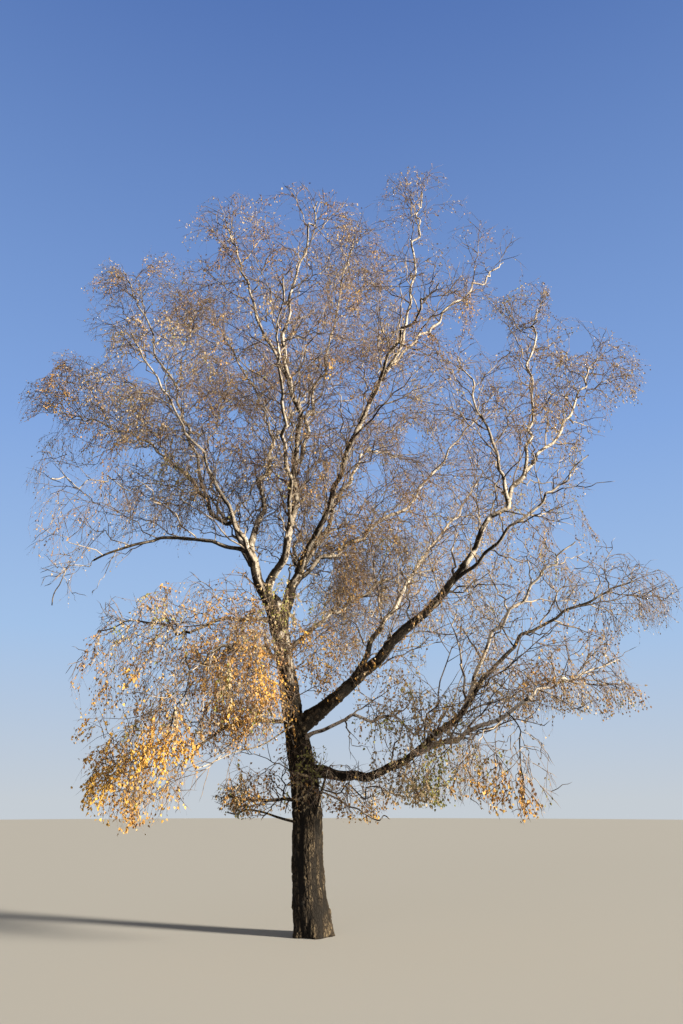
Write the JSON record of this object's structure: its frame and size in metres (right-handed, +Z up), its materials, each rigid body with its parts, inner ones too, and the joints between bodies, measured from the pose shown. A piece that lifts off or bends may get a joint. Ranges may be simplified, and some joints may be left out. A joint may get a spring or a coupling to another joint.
{
  "type": "silver birch tree",
  "caption": "Silver birch in late autumn: leaning fissured trunk, white rising boughs, an open round crown of fine hanging twigs and sparse gold leaves.",
  "frame": {"origin": "middle of the trunk's flat cut at ground level", "axes": "+Z up; -Y is the side that the picture shows; +X to its right, where the heaviest bough reaches"},
  "size_m": [9.6662, 7.0892, 11.3106],
  "materials": {
    "bark": "rough, deeply fissured dark bark with grey-tan ridges",
    "white_bark": "papery pale bark with dark bands and lenticels",
    "twig": "thin purple-brown twigs",
    "leaves_gold": "matt golden autumn leaves",
    "leaves_russet": "matt russet autumn leaves",
    "leaves_tan": "matt dry tan leaves and catkins"
  },
  "bodies": {
    "root": {"trunk": "bark", "west_stem": "bark", "west_arm": "white_bark", "west_rise": "white_bark", "west_mid": "white_bark", "west_inner": "white_bark", "back_west_bough": "white_bark", "centre_stem": "white_bark", "centre_fork": "white_bark", "front_bough": "white_bark", "east_stem": "bark", "high_bough": "white_bark", "back_bough": "white_bark", "back_east_bough": "white_bark", "rear_mid": "white_bark", "east_bough": "bark", "east_rise": "white_bark", "east_inner": "white_bark", "low_east": "bark", "low_front": "white_bark", "rear_east": "white_bark", "low_west": "white_bark", "front_west": "white_bark", "droop_west": "white_bark", "west_hang": "leaves_tan", "far_west": "leaves_tan", "west_level": "leaves_tan", "west_front": "leaves_russet", "northwest": "leaves_russet", "upper_west": "leaves_russet", "inner_back": "leaves_tan", "top_west": "leaves_russet", "top_mid": "leaves_russet", "top_centre": "leaves_tan", "apex": "leaves_tan", "top_east": "leaves_tan", "front_high": "leaves_russet", "front_mid": "leaves_russet", "back_mid": "leaves_tan", "back_east": "leaves_tan", "east_high": "leaves_gold", "east_far": "leaves_gold", "east_left": "leaves_tan", "east_hang": "leaves_tan", "inner_east": "leaves_tan", "far_east": "leaves_tan", "mid_east": "leaves_tan", "low_far_east": "leaves_tan", "low_hang_east": "leaves_gold", "rear_far": "leaves_tan", "rear_low": "leaves_gold", "back_west": "leaves_tan", "back_centre": "leaves_russet", "cloud_west": "leaves_gold", "gold_west": "leaves_gold", "gold_low": "leaves_gold", "under_east": "leaves_gold", "leader_tuft": "leaves_gold", "low_tuft_west": "leaves_gold", "low_tuft_east": "leaves_gold"}
  },
  "joints": []
}
